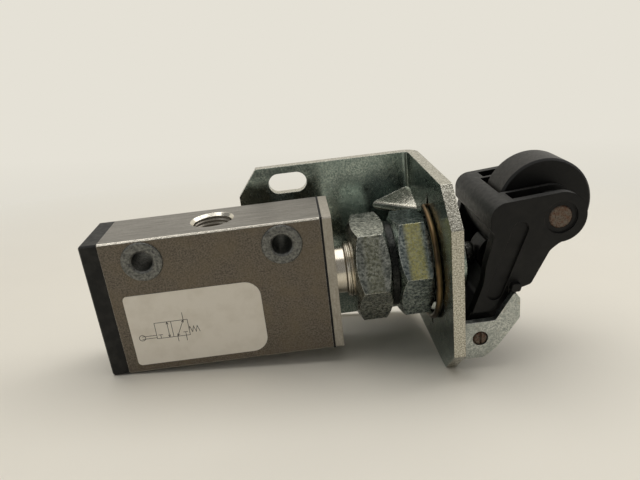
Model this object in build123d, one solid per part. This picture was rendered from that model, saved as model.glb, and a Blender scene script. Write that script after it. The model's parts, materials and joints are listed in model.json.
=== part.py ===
"""Roller-lever 3/2 pneumatic valve on an L-shaped mounting bracket, in millimetres.

The origin is the middle of the bracket's two slots, on its outer mounting face.
+X runs along the valve's axis towards the roller, +Y out of the mounting face
and +Z towards the outlet port. Pieces are drawn about the valve's axis, with
x = 0 at the block's right end, and are moved home when they are written.
"""
import os
from math import atan2, cos, degrees, hypot, radians, sin, sqrt, tan

from build123d import *

# Clearances between pieces
RUNNING = 0.05
SEATING = 0.02
STOP_GAP = 0.3
PAD_GAP = 0.02
END_PLAY = 0.1

# Valve block, with the valve's axis at its middle
BLOCK_LENGTH = 48.0
BLOCK_DEPTH = 16.0
BLOCK_HEIGHT = 32.5
BLOCK_EDGE = 0.35
CAP_THICKNESS = 4.0
GASKET_THICKNESS = 0.5
END_PLATE_THICKNESS = 2.0

# Ports, G 1/8
PORT_MINOR_D = 8.57
PORT_MOUTH_D = 9.9
PORT_DEPTH = 8.0
PORT_SPACING = 11.0
OUTLET_PASSAGE_D = 3.2
SIDE_PASSAGE_D = 2.4

# Through holes for fastening the block by itself
BUSH_SPACING = 30.5
BUSH_Z = 11.2
BUSH_BORE_D = 4.5
BUSH_SLEEVE_D = 6.0
BUSH_HEAD_D = 9.0
BUSH_HEAD_T = 1.0
BUSH_PROUD = 0.4
BUSH_EDGE_R = 0.36
BUSH_BORE_CHAMFER = 0.4

# End screws, M3
SCREW_D = 3.0
SCREW_HEAD_D = 5.5
SCREW_HEAD_T = 1.8
SCREW_Z = 12.0
SCREW_TO_BUSH = 1.25
SCREW_SOCKET_AF = 2.0
SCREW_SOCKET_DEPTH = 1.0

# Bore and spool, positions measured from the block's right end
BORE_D = 9.0
CHAMBER_D = 11.0
SOCKET_DEPTH = 6.0
SUPPLY_LAND = (-11.6, -SOCKET_DEPTH)
OUTLET_LAND = (-20.2, -16.0)
EXHAUST_LAND = (-32.0, -28.0)
GUIDE_END = -38.5
SPOOL_LAND_D = 8.6
SPOOL_STEM_D = 4.8
SPOOL_LAND_W = 2.8
SPOOL_LEFT = -41.2
SPOOL_WEB = 1.2
SPOOL_RIGHT = -SOCKET_DEPTH - END_PLAY
SEAL_CENTRES = (-25.6, -19.3, -7.9)
SEAL_CORD_D = 1.8
SEAL_GROOVE_D = 5.2
CAP_BOSS_LENGTH = 2.8

# Return spring
SPRING_WIRE_D = 0.6
SPRING_MEAN_D = 4.0
SPRING_POCKET_D = 5.2
SPRING_POCKET_DEPTH = 4.0
SPRING_TURNS = 5

# Threaded neck, M14 x 1, and its plunger
NECK_D = 14.0
NECK_SPIGOT_D = 11.2
NECK_RELIEF = 2.5
NECK_CHAMFER = 1.3
PLUNGER_D = 6.0
PLUNGER_TIP_R = 1.2
PLUNGER_REACH = 3.4
WIPER_CORD_D = 1.3
WIPER_SETBACK = 2.6

# Nuts and washers on the neck
NUT_AF = 22.0
NUT_T = 8.25
NUT_CHAMFER_DEG = 30.0
NUT_FACE_D = 20.6
LOCK_NUT_TURN = 5.0
CLAMP_NUT_TURN = -4.0
LOCK_NUT_START = 4.05
WASHER_D = 20.0
WASHER_T = 1.4
TOOTH_WASHER_D = 21.0
TOOTH_WASHER_T = 0.55
TOOTH_COUNT = 16
RING_NUT_D = 18.0
RING_NUT_T = 3.0
RING_NUT_CHAMFER = 0.4
RING_NUT_SLOT = 3.0
RING_NUT_SLOT_DEPTH = 0.75
NECK_PROUD = 0.5

# Mounting bracket, bent from sheet
SHEET_T = 2.5
BRACKET_HEIGHT = 44.0
PLATE_FRONT = 21.0
LEG_FACE = 21.0
LEG_LEFT = -19.1
BEND_INNER_R = 1.5
PLATE_CHAMFER = 7.5
LEG_CHAMFER_X = 5.0
LEG_CHAMFER_Z = 6.7
SLOT_X = -6.3
SLOT_LENGTH = 9.8
SLOT_WIDTH = 5.2
SLOT_FROM_EDGE = 4.4
GUSSET_Z = 8.8
GUSSET_WIDTH = 8.6
GUSSET_ON_LEG = 12.0
GUSSET_ON_PLATE = 11.0
GUSSET_CREST_R = 1.3
GUSSET_WALL = 3.2

# Wire clip that holds the lever carrier on the plate
CLIP_WIRE_D = 1.4
CLIP_RING_R = 13.6
CLIP_HOLE_D = 2.0
CLIP_HOLE_LENGTH = 4.0
CLIP_TOP_DEG = 84.0
CLIP_BOTTOM_DEG = -81.0

# Lever carrier, a U-shaped stamping on the plate's roller side
CARRIER_T = 1.6
CARRIER_BEND_R = 2.2
CARRIER_BASE_TOP = 17.4
CARRIER_BASE_BOTTOM = -19.2
CARRIER_SHOULDER_Z = -8.0
CARRIER_NECK_HALF = 5.5
EAR_ROOT_TOP = -10.2
EAR_HEEL_X = 5.9
EAR_TOE_X = 8.9
EAR_TOE_RISE = 2.2
EAR_NOTCH_X = 8.5
EAR_CORNER_R = 1.5
EAR_NOTCH_R = 1.0
FINGER_X = 14.0
FINGER_TOP_Z = -4.2
FINGER_TOP_WIDTH = 0.7
FINGER_SLOPE_X = 0.8
FINGER_SLOPE_Z = 1.2
FINGER_R = 0.3

# Roller lever, with its side view's corners measured from the pivot
PIVOT_X = 5.1
PIVOT_Z = -14.3
ROLLER_X = 18.2
ROLLER_Z = 25.8
ROLLER_D = 21.5
ROLLER_WIDTH = 9.5
ROLLER_HUB_D = 8.5
ROLLER_HUB_GAP = 0.15
ROLLER_EDGE = 0.5
ROLLER_PIN_D = 5.0
FORK_CLEARANCE = 1.45
LEVER_WIDTH = 26.4
LEVER_SIDE_GAP = 0.3
LEVER_WALL = 2.6
LEVER_TOP_R = 3.5
LEVER_HEAD_R = 5.6
LEVER_BARREL_R = 3.3
ARM_BACK_ROOT = (-2.4, 2.3)
ARM_BACK_KNEE = (1.4, 12.3)
ARM_BACK_UPPER = (2.0, 16.8)
ARM_BACK_TOP = (3.8, 23.7)
ARM_BACK_R = 6.0
ARM_STEP = (3.1, 24.8)
ARM_EDGE_R = 0.5
ARM_UNDER_ROOT = (2.9, -0.8)
ARM_UNDER_KNEE = (9.2, 10.3)
ARM_UNDER_TIP = (12.0, 11.1)
ARM_UNDER_R = 1.2
HEAD_SHOULDER_DROP = 1.1
HEAD_CHIN_BACK = 2.2
HEAD_CHIN_DROP = 1.6
HEAD_CHIN_R = 2.5
CHANNEL_BOTTOM = 3.9
CHANNEL_TOP = 23.7
CHANNEL_ROOT_X = 3.6
CHANNEL_CEILING_X = 6.0
CHANNEL_LOW = (6.9, 9.7)
CHANNEL_KNEE = (9.4, 11.7)
CHANNEL_DEEP = (13.0, 17.6)
CHANNEL_R = 1.2
SLOT_GAP = 1.25
SLOT_WALL = 2.2
PAD_R = 5.0
PAD_WIDTH = 6.0
PAD_HEIGHT = 8.0
PAD_TAIL = 3.0
POCKET_LOW = (3.9, 9.8)
POCKET_HIGH = (9.5, 24.2)
POCKET_WIDTH = 3.4
POCKET_DEPTH = 0.6
TANG_STEP = 1.0
TANG_SHOULDER_Z = 5.5
TANG_CORNER_X = 3.7
TANG_TOP = (6.6, 11.3)
TANG_CORNER_R = 1.6
LUG_BACK = 6.9
LUG_WIDTH = 2.1
LUG_LEAN = 0.5
LUG_HEIGHT = 1.8
CHEEK_RIM = 1.0
CHEEK_WALL = 1.8
CHEEK_LEFT = 8.2
CHEEK_FLOOR = 24.4
CHEEK_MOUTH = 27.6
CHEEK_BOSS_R = 4.2
PIN_RECESS_D = 7.2
PIN_RECESS_DEPTH = 0.5
PIVOT_PIN_D = 3.5
PIVOT_PIN_CHAMFER = 0.5
PIVOT_PIN_GROOVE = 0.5

# Label
LABEL_LENGTH = 30.4
LABEL_HEIGHT = 17.7
LABEL_LEFT = 2.6
LABEL_TOP_Z = 3.4
LABEL_T = 0.15
LABEL_SMALL_R = 1.0
LABEL_LARGE_R = 3.6

# Places worked out from the sizes above
BLOCK_LEFT = -BLOCK_LENGTH
BLOCK_HALF = BLOCK_DEPTH / 2
BLOCK_TOP = BLOCK_HEIGHT / 2
BLOCK_MIDDLE = -BLOCK_LENGTH / 2
SCREW_GRIP = (BLOCK_LENGTH - BUSH_SPACING - BUSH_SLEEVE_D) / 2 - SCREW_TO_BUSH
END_PLATE_FACE = GASKET_THICKNESS + END_PLATE_THICKNESS
THREAD_START = END_PLATE_FACE + NECK_RELIEF
LOCK_NUT_X = END_PLATE_FACE + LOCK_NUT_START
WASHER_X = LOCK_NUT_X + NUT_T
CLAMP_NUT_X = WASHER_X + WASHER_T
TOOTH_WASHER_X = CLAMP_NUT_X + NUT_T
PLATE_X = TOOTH_WASHER_X + TOOTH_WASHER_T
PLATE_FACE = PLATE_X + SHEET_T
CARRIER_FACE = PLATE_FACE + CARRIER_T
NECK_END = CARRIER_FACE + RING_NUT_T + NECK_PROUD
PLUNGER_TIP = NECK_END + PLUNGER_REACH
PIVOT = (PLATE_FACE + PIVOT_X, PIVOT_Z)
ROLLER = (PIVOT[0] + ROLLER_X, PIVOT[1] + ROLLER_Z)
LEVER_HALF = LEVER_WIDTH / 2
EAR_INNER = LEVER_HALF + LEVER_SIDE_GAP
EAR_OUTER = EAR_INNER + CARRIER_T
FORK_HALF = ROLLER_WIDTH / 2 + FORK_CLEARANCE
CLIP_X = PLATE_X - CLIP_WIRE_D / 2 - RUNNING
SLOT_Z = BRACKET_HEIGHT / 2 - SLOT_FROM_EDGE
HOME = Location((-SLOT_X, -LEG_FACE, 0))


def rod(x_start, x_end, diameter):
    """Cylinder along the valve's axis."""
    return extrude(Plane.YZ.offset(x_start) * Circle(diameter / 2), amount=x_end - x_start)


def cross_rod(x, z, y_start, y_end, diameter):
    """Cylinder along Y, across the valve."""
    plane = Plane(origin=(x, y_start, z), x_dir=(1, 0, 0), z_dir=(0, 1, 0))
    return extrude(plane * Circle(diameter / 2), amount=y_end - y_start)


def turned(points):
    """Solid of revolution about the valve's axis, from (x, radius) points."""
    return revolve(make_face(Polyline(*points, close=True)), Axis.X, 360)


def side_plate(sketch, y_start, y_end):
    """Extrusion along Y of a sketch drawn in x and z."""
    return extrude(Plane.XZ.offset(-y_end) * sketch, amount=y_end - y_start)


def rounded_outline(points, radii):
    """Face bounded by straight runs with a fillet of its own at each corner."""
    return make_face(FilletPolyline(*points, radius=radii, close=True))


def o_ring(x, mean_radius, cord):
    """Ring seal about the valve's axis."""
    return revolve(Pos(x, mean_radius) * Circle(cord / 2), Axis.X, 360)


def block_section(x_start, x_end):
    """Slab with the block's own outline."""
    return extrude(
        Plane.YZ.offset(x_start) * Rectangle(BLOCK_DEPTH, BLOCK_HEIGHT), amount=x_end - x_start
    )


def end_screw_holes(x_start, x_end, diameter):
    """The two holes that the end screws share in block, cap, gasket and plate."""
    hole = rod(x_start, x_end, diameter)
    return Pos(0, 0, SCREW_Z) * hole + Pos(0, 0, -SCREW_Z) * hole


def bush_places():
    """Centres of the block's two through holes, as x values."""
    return [BLOCK_MIDDLE - BUSH_SPACING / 2, BLOCK_MIDDLE + BUSH_SPACING / 2]


def port(x, outward, passage):
    """Threaded port with its mouth chamfer and the passage on to the bore."""
    mouth = BLOCK_TOP
    lead_in = (PORT_MOUTH_D - PORT_MINOR_D) / 2
    outline = [
        (0, 0),
        (0, mouth),
        (PORT_MOUTH_D / 2, mouth),
        (PORT_MINOR_D / 2, mouth - lead_in),
        (PORT_MINOR_D / 2, mouth - PORT_DEPTH),
        (passage / 2, mouth - PORT_DEPTH - lead_in),
        (passage / 2, 0),
    ]
    drill = revolve(Plane.XZ * make_face(Polyline(*outline, close=True)), Axis.Z, 360)
    if outward < 0:
        drill = Rot(180, 0, 0) * drill
    return Pos(x, 0, 0) * drill


def valve_bore():
    """Stepped bore: spool lands, the chambers between them and the neck's socket."""
    land = BORE_D / 2
    chamber = CHAMBER_D / 2
    socket = NECK_SPIGOT_D / 2 + RUNNING
    outline = [
        (BLOCK_LEFT, 0),
        (BLOCK_LEFT, land),
        (GUIDE_END, land),
        (GUIDE_END, chamber),
        (EXHAUST_LAND[0], chamber),
        (EXHAUST_LAND[0], land),
        (EXHAUST_LAND[1], land),
        (EXHAUST_LAND[1], chamber),
        (OUTLET_LAND[0], chamber),
        (OUTLET_LAND[0], land),
        (OUTLET_LAND[1], land),
        (OUTLET_LAND[1], chamber),
        (SUPPLY_LAND[0], chamber),
        (SUPPLY_LAND[0], land),
        (SUPPLY_LAND[1], land),
        (SUPPLY_LAND[1], socket),
        (0, socket),
        (0, 0),
    ]
    return turned(outline)


def valve_body():
    body = block_section(BLOCK_LEFT, 0)
    body = chamfer(body.edges().filter_by(Axis.X), BLOCK_EDGE)
    body -= valve_bore()
    body -= port(BLOCK_MIDDLE, 1, OUTLET_PASSAGE_D)
    for side in (-1, 1):
        body -= port(BLOCK_MIDDLE + side * PORT_SPACING, -1, SIDE_PASSAGE_D)
    for x in bush_places():
        body -= cross_rod(x, BUSH_Z, -BLOCK_HALF, BLOCK_HALF, BUSH_SLEEVE_D + 2 * SEATING)
        seat = BUSH_HEAD_T - BUSH_PROUD
        body -= cross_rod(x, BUSH_Z, -BLOCK_HALF, -BLOCK_HALF + seat, BUSH_HEAD_D + 2 * SEATING)
    body -= end_screw_holes(BLOCK_LEFT, BLOCK_LEFT + SCREW_GRIP, SCREW_D)
    body -= end_screw_holes(-SCREW_GRIP, 0, SCREW_D)
    return body


def mounting_bushes():
    """Flanged eyelets that line the block's through holes."""
    bushes = []
    face = -BLOCK_HALF - BUSH_PROUD
    for x in bush_places():
        head = cross_rod(x, BUSH_Z, face, face + BUSH_HEAD_T, BUSH_HEAD_D)
        head = fillet(head.edges().sort_by(Axis.Y)[0], BUSH_EDGE_R)
        bush = head + cross_rod(x, BUSH_Z, face + BUSH_HEAD_T, BLOCK_HALF, BUSH_SLEEVE_D)
        bush -= cross_rod(x, BUSH_Z, face, BLOCK_HALF, BUSH_BORE_D)
        mouth = bush.edges().filter_by(GeomType.CIRCLE).sort_by(Axis.Y)[:2].sort_by(SortBy.RADIUS)[0]
        bushes.append(chamfer(mouth, BUSH_BORE_CHAMFER))
    return Compound(bushes)


def end_cap():
    """Black cap over the spring end, with a boss that carries the cap seal."""
    outer = BLOCK_LEFT - CAP_THICKNESS
    boss_end = BLOCK_LEFT + CAP_BOSS_LENGTH
    cap = block_section(outer, BLOCK_LEFT)
    cap = chamfer(cap.edges().filter_by(Axis.X), BLOCK_EDGE)
    cap = chamfer(cap.faces().sort_by(Axis.X)[0].edges(), BLOCK_EDGE)
    cap += rod(BLOCK_LEFT, boss_end, BORE_D - 2 * RUNNING)
    groove = rod(BLOCK_LEFT, boss_end, BORE_D) - rod(BLOCK_LEFT, boss_end, SEAL_GROOVE_D)
    middle = BLOCK_LEFT + CAP_BOSS_LENGTH / 2
    half = SEAL_CORD_D / 2 + RUNNING
    cap -= groove & block_section(middle - half, middle + half)
    cap -= end_screw_holes(outer, BLOCK_LEFT, SCREW_D + 2 * RUNNING)
    cap -= end_screw_holes(outer, outer + SCREW_HEAD_T, SCREW_HEAD_D + 2 * RUNNING)
    return cap


def seal_radius():
    """Mean radius of the ring seals that run in the bore."""
    return BORE_D / 2 - RUNNING - SEAL_CORD_D / 2


def cap_seal():
    return o_ring(BLOCK_LEFT + CAP_BOSS_LENGTH / 2, seal_radius(), SEAL_CORD_D)


def socket_screw(head_start, head_length, tip):
    """Cap screw along X with its head's outer face at head_start."""
    inward = 1 if tip > head_start else -1
    head = rod(head_start, head_start + inward * head_length, SCREW_HEAD_D)
    shank = rod(head_start + inward * head_length, tip, SCREW_D - 2 * SEATING)
    socket = Plane.YZ.offset(head_start) * RegularPolygon(
        SCREW_SOCKET_AF / 2, 6, major_radius=False
    )
    return head + shank - extrude(socket, amount=inward * SCREW_SOCKET_DEPTH)


def pair_of_screws(screw):
    return Compound([Pos(0, 0, SCREW_Z) * screw, Pos(0, 0, -SCREW_Z) * screw])


def cap_screws():
    outer = BLOCK_LEFT - CAP_THICKNESS
    return pair_of_screws(socket_screw(outer, SCREW_HEAD_T, BLOCK_LEFT + SCREW_GRIP - SEATING))


def countersink(clearance):
    """Cone of a countersunk screw's head, set flush in the end plate."""
    rim = SCREW_HEAD_D / 2 + clearance
    outline = [
        (END_PLATE_FACE, 0),
        (END_PLATE_FACE, rim),
        (END_PLATE_FACE - rim, 0),
    ]
    return turned(outline)


def plate_screws():
    """Countersunk screws of the end plate."""
    screw = countersink(-SEATING) + rod(-SCREW_GRIP + SEATING, GASKET_THICKNESS, SCREW_D - 2 * SEATING)
    screw += rod(GASKET_THICKNESS, END_PLATE_FACE - SCREW_SOCKET_DEPTH, SCREW_D - 2 * SEATING)
    socket = Plane.YZ.offset(END_PLATE_FACE) * RegularPolygon(
        SCREW_SOCKET_AF / 2, 6, major_radius=False
    )
    return pair_of_screws(screw - extrude(socket, amount=-SCREW_SOCKET_DEPTH))


def end_gasket():
    gasket = block_section(0, GASKET_THICKNESS)
    gasket -= rod(0, GASKET_THICKNESS, NECK_SPIGOT_D + 2 * RUNNING)
    return gasket - end_screw_holes(0, GASKET_THICKNESS, SCREW_D + 2 * RUNNING)


def end_plate():
    plate = block_section(GASKET_THICKNESS, END_PLATE_FACE)
    plate = chamfer(plate.edges().filter_by(Axis.X), BLOCK_EDGE)
    plate -= rod(GASKET_THICKNESS, END_PLATE_FACE, NECK_SPIGOT_D + 2 * RUNNING)
    for side in (-1, 1):
        plate -= Pos(0, 0, side * SCREW_Z) * countersink(0)
    return plate - end_screw_holes(GASKET_THICKNESS, END_PLATE_FACE, SCREW_D + 2 * RUNNING)


def threaded_neck():
    """Hollow neck, screwed into the block, that guides the plunger."""
    bore = PLUNGER_D / 2 + RUNNING
    spigot = NECK_SPIGOT_D / 2
    thread = NECK_D / 2
    outline = [
        (-SOCKET_DEPTH, bore),
        (-SOCKET_DEPTH, spigot),
        (THREAD_START, spigot),
        (THREAD_START, thread - NECK_CHAMFER),
        (THREAD_START + NECK_CHAMFER, thread),
        (NECK_END - NECK_PROUD, thread),
        (NECK_END, thread - NECK_PROUD),
        (NECK_END, bore),
    ]
    neck = turned(outline)
    wiper_x = NECK_END - WIPER_SETBACK
    half = WIPER_CORD_D / 2 + RUNNING
    groove_d = PLUNGER_D + 2 * RUNNING + 2 * WIPER_CORD_D
    return neck - rod(wiper_x - half, wiper_x + half, groove_d)


def wiper_seal():
    mean_radius = PLUNGER_D / 2 + RUNNING + WIPER_CORD_D / 2
    return o_ring(NECK_END - WIPER_SETBACK, mean_radius, WIPER_CORD_D)


def plunger():
    pin = rod(SPOOL_RIGHT, PLUNGER_TIP, PLUNGER_D)
    return fillet(pin.edges().sort_by(Axis.X)[-1], PLUNGER_TIP_R)


def spool():
    """Spool with three sealing lands and a hollow guide for the spring."""
    stem = rod(SPOOL_LEFT, SPOOL_RIGHT, SPOOL_STEM_D)
    pocket_end = SPOOL_LEFT + SPRING_POCKET_DEPTH
    body = stem + rod(SPOOL_LEFT, pocket_end + SPOOL_WEB, SPOOL_LAND_D)
    for centre in SEAL_CENTRES:
        start = centre - SPOOL_LAND_W / 2
        end = SPOOL_RIGHT if centre == SEAL_CENTRES[-1] else centre + SPOOL_LAND_W / 2
        body += rod(start, end, SPOOL_LAND_D)
        half = SEAL_CORD_D / 2 + RUNNING
        groove = rod(centre - half, centre + half, SPOOL_LAND_D)
        body -= groove - rod(centre - half, centre + half, SEAL_GROOVE_D)
    return body - rod(SPOOL_LEFT, pocket_end, SPRING_POCKET_D)


def spool_seals():
    return Compound([o_ring(x, seal_radius(), SEAL_CORD_D) for x in SEAL_CENTRES])


def return_spring():
    """Compression spring between the cap's boss and the spool's pocket."""
    start = BLOCK_LEFT + CAP_BOSS_LENGTH + SPRING_WIRE_D / 2
    end = SPOOL_LEFT + SPRING_POCKET_DEPTH - SPRING_WIRE_D / 2
    length = end - start
    coil = Helix(length / SPRING_TURNS, length, SPRING_MEAN_D / 2)
    section = Plane(origin=coil @ 0, z_dir=coil % 0) * Circle(SPRING_WIRE_D / 2)
    spring = sweep(section, path=coil, is_frenet=True)
    return Pos(start, 0, 0) * Rot(0, 90, 0) * spring


def hex_nut(x_start, thickness, across_flats, turn):
    """Hexagon nut with both faces chamfered."""
    corner = across_flats / sqrt(3)
    drop = (corner - NUT_FACE_D / 2) * tan(radians(NUT_CHAMFER_DEG))
    blank = Plane.YZ.offset(x_start) * RegularPolygon(
        across_flats / 2, 6, major_radius=False, rotation=turn
    )
    end = x_start + thickness
    envelope = [
        (x_start, 0),
        (x_start, NUT_FACE_D / 2),
        (x_start + drop, corner),
        (end - drop, corner),
        (end, NUT_FACE_D / 2),
        (end, 0),
    ]
    nut = extrude(blank, amount=thickness) & turned(envelope)
    bore = rod(x_start, end, NECK_D + 2 * SEATING)
    return nut - bore


def lock_nut():
    return hex_nut(LOCK_NUT_X, NUT_T, NUT_AF, LOCK_NUT_TURN)


def clamp_nut():
    return hex_nut(CLAMP_NUT_X, NUT_T, NUT_AF, CLAMP_NUT_TURN)


def spacer_washer():
    ring = rod(WASHER_X, CLAMP_NUT_X, WASHER_D)
    return ring - rod(WASHER_X, CLAMP_NUT_X, NECK_D + 2 * RUNNING)


def tooth_washer():
    """Shake-proof washer with teeth round its rim."""
    ring = rod(TOOTH_WASHER_X, PLATE_X, TOOTH_WASHER_D)
    ring -= rod(TOOTH_WASHER_X, PLATE_X, NECK_D + 2 * RUNNING)
    gap_d = TOOTH_WASHER_D / TOOTH_COUNT
    gap = Pos(0, TOOTH_WASHER_D / 2, 0) * rod(TOOTH_WASHER_X, PLATE_X, gap_d)
    for index in range(TOOTH_COUNT):
        ring -= Rot(index * 360 / TOOTH_COUNT, 0, 0) * gap
    return ring


def ring_nut():
    """Slotted round nut that clamps the carrier and the plate from the roller side."""
    end = CARRIER_FACE + RING_NUT_T
    nut = chamfer(rod(CARRIER_FACE, end, RING_NUT_D).edges(), RING_NUT_CHAMFER)
    nut -= rod(CARRIER_FACE, end, NECK_D + 2 * SEATING)
    slot = Pos((CARRIER_FACE + end) / 2, RING_NUT_D / 2, 0) * Box(
        RING_NUT_T, 2 * RING_NUT_SLOT_DEPTH, RING_NUT_SLOT
    )
    for quarter in range(4):
        nut -= Rot(45 + quarter * 90, 0, 0) * slot
    return nut


def clip_point(x, degrees):
    """Point on the clip's ring, at an angle above the front side."""
    angle = radians(degrees)
    return (x, -CLIP_RING_R * cos(angle), CLIP_RING_R * sin(angle))


def bow_heading():
    """Direction of the wire where the bow starts, at its lower end."""
    angle = radians(CLIP_BOTTOM_DEG)
    return (0, sin(angle), cos(angle))


def clip_holes(x_start, x_end):
    """Upright slots for the wire's hooks, with play on the side away from the axis."""
    slot = Plane.YZ.offset(x_start) * SlotOverall(CLIP_HOLE_LENGTH, CLIP_HOLE_D, rotation=90)
    hole = extrude(slot, amount=x_end - x_start)
    play = (CLIP_HOLE_LENGTH - CLIP_HOLE_D) / 2
    top = clip_point(0, CLIP_TOP_DEG)
    bottom = clip_point(0, CLIP_BOTTOM_DEG)
    return Pos(*top) * Pos(0, 0, play) * hole + Pos(*bottom) * Pos(0, 0, -play) * hole


def wire_clip():
    """Spring-wire bow whose two ends hook through the plate into the carrier."""
    hook = CARRIER_FACE - STOP_GAP
    start = clip_point(CLIP_X, CLIP_BOTTOM_DEG)
    section = Plane(origin=start, x_dir=(1, 0, 0), z_dir=bow_heading()) * Circle(CLIP_WIRE_D / 2)
    clip = revolve(section, Axis.X, CLIP_BOTTOM_DEG - CLIP_TOP_DEG)
    for degrees in (CLIP_TOP_DEG, CLIP_BOTTOM_DEG):
        place = Pos(*clip_point(0, degrees))
        clip += place * rod(CLIP_X, hook, CLIP_WIRE_D)
        clip += place * Pos(CLIP_X, 0, 0) * Sphere(CLIP_WIRE_D / 2)
    return clip


def dart(side, back_off, overrun):
    """Wedge along the line of a gusset's crest, set back from it towards the outer corner."""
    length = hypot(GUSSET_ON_LEG, GUSSET_ON_PLATE)
    depth = GUSSET_ON_LEG * GUSSET_ON_PLATE / length
    wedge = rounded_outline(
        [(0, 0), (2 * depth, GUSSET_WIDTH), (2 * depth, -GUSSET_WIDTH)], [GUSSET_CREST_R, 0, 0]
    )
    start = Plane(
        origin=(PLATE_X - GUSSET_ON_LEG, LEG_FACE - SHEET_T, side * GUSSET_Z),
        x_dir=(GUSSET_ON_PLATE, GUSSET_ON_LEG, 0),
        z_dir=(GUSSET_ON_LEG, -GUSSET_ON_PLATE, 0),
    )
    return extrude(start * Pos(back_off, 0, -overrun) * wedge, amount=length + 2 * overrun)


def gusset(side):
    """Dart pressed into the bend: widest in the corner, pointed on the leg and the plate."""
    corner = Pos(PLATE_X + BEND_INNER_R, LEG_FACE - SHEET_T + BEND_INNER_R, 0) * Box(
        GUSSET_ON_LEG + BEND_INNER_R,
        GUSSET_ON_PLATE + BEND_INNER_R,
        BRACKET_HEIGHT,
        align=(Align.MAX, Align.MAX, Align.CENTER),
    )
    return dart(side, 0, 0) & corner


def gusset_dent(side):
    """The hollow that pressing the gusset leaves in the outer side of the bend."""
    return dart(side, GUSSET_WALL, 2 * SHEET_T)


def mounting_bracket():
    """Sheet-metal angle: a slotted leg behind the block and a plate across the neck."""
    half = BRACKET_HEIGHT / 2
    bend_outer = BEND_INNER_R + SHEET_T
    leg_inner = LEG_FACE - SHEET_T
    section = rounded_outline(
        [
            (LEG_LEFT, leg_inner),
            (PLATE_X, leg_inner),
            (PLATE_X, -PLATE_FRONT),
            (PLATE_FACE, -PLATE_FRONT),
            (PLATE_FACE, LEG_FACE),
            (LEG_LEFT, LEG_FACE),
        ],
        [0, BEND_INNER_R, 0, 0, bend_outer, 0],
    )
    bracket = extrude(Plane.XY.offset(-half) * section, amount=BRACKET_HEIGHT)
    leg_outline = Polyline(
        (LEG_LEFT, -half + LEG_CHAMFER_Z),
        (LEG_LEFT, half - LEG_CHAMFER_Z),
        (LEG_LEFT + LEG_CHAMFER_X, half),
        (PLATE_FACE, half),
        (PLATE_FACE, -half),
        (LEG_LEFT + LEG_CHAMFER_X, -half),
        close=True,
    )
    bracket &= side_plate(make_face(leg_outline), -PLATE_FRONT, LEG_FACE)
    plate_outline = Polyline(
        (-PLATE_FRONT, -half + PLATE_CHAMFER),
        (-PLATE_FRONT, half - PLATE_CHAMFER),
        (-PLATE_FRONT + PLATE_CHAMFER, half),
        (LEG_FACE, half),
        (LEG_FACE, -half),
        (-PLATE_FRONT + PLATE_CHAMFER, -half),
        close=True,
    )
    plate_blank = Plane.YZ.offset(LEG_LEFT) * make_face(plate_outline)
    bracket &= extrude(plate_blank, amount=PLATE_FACE - LEG_LEFT)
    for side in (-1, 1):
        bracket += gusset(side)
        bracket -= gusset_dent(side)
        slot = Pos(SLOT_X, side * SLOT_Z) * SlotOverall(SLOT_LENGTH, SLOT_WIDTH)
        bracket -= side_plate(slot, leg_inner, LEG_FACE)
    bracket -= rod(PLATE_X, PLATE_FACE, NECK_D + 2 * RUNNING)
    return bracket - clip_holes(PLATE_X, PLATE_FACE)


def ear_outline():
    """Side view of the carrier's ear, with the finger that stops the lever."""
    front = PLATE_FACE + FINGER_X
    top_front = front - FINGER_SLOPE_X
    points = [
        (PLATE_FACE, CARRIER_BASE_BOTTOM),
        (PLATE_FACE + EAR_HEEL_X, CARRIER_BASE_BOTTOM),
        (PLATE_FACE + EAR_TOE_X, CARRIER_BASE_BOTTOM + EAR_TOE_RISE),
        (front, EAR_ROOT_TOP),
        (front, FINGER_TOP_Z - FINGER_SLOPE_Z),
        (top_front, FINGER_TOP_Z),
        (top_front - FINGER_TOP_WIDTH, FINGER_TOP_Z),
        (PLATE_FACE + EAR_NOTCH_X, EAR_ROOT_TOP),
        (PLATE_FACE, EAR_ROOT_TOP),
    ]
    bottom = [0, EAR_CORNER_R, EAR_CORNER_R, EAR_CORNER_R]
    return rounded_outline(points, bottom + [FINGER_R, FINGER_R, FINGER_R, EAR_NOTCH_R, 0])


def lever_carrier():
    """U-shaped stamping that carries the lever between its two ears."""
    base_outline = Polyline(
        (-EAR_OUTER, CARRIER_BASE_BOTTOM),
        (-EAR_OUTER, CARRIER_SHOULDER_Z),
        (-CARRIER_NECK_HALF, CARRIER_BASE_TOP),
        (CARRIER_NECK_HALF, CARRIER_BASE_TOP),
        (EAR_OUTER, CARRIER_SHOULDER_Z),
        (EAR_OUTER, CARRIER_BASE_BOTTOM),
        close=True,
    )
    carrier = extrude(Plane.YZ.offset(PLATE_FACE) * make_face(base_outline), amount=CARRIER_T)
    ear = ear_outline()
    carrier += side_plate(ear, EAR_INNER, EAR_OUTER)
    carrier += side_plate(ear, -EAR_OUTER, -EAR_INNER)
    bends = [
        edge
        for edge in carrier.edges().filter_by(Axis.Z)
        if abs(edge.center().X - PLATE_FACE) < RUNNING
        and abs(abs(edge.center().Y) - EAR_OUTER) < RUNNING
    ]
    carrier = fillet(bends, CARRIER_BEND_R)
    carrier -= rod(PLATE_FACE, CARRIER_FACE, NECK_D + 2 * RUNNING)
    carrier -= clip_holes(PLATE_FACE, CARRIER_FACE)
    return carrier - cross_rod(*PIVOT, -EAR_OUTER, EAR_OUTER, PIVOT_PIN_D + 2 * SEATING)


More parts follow.
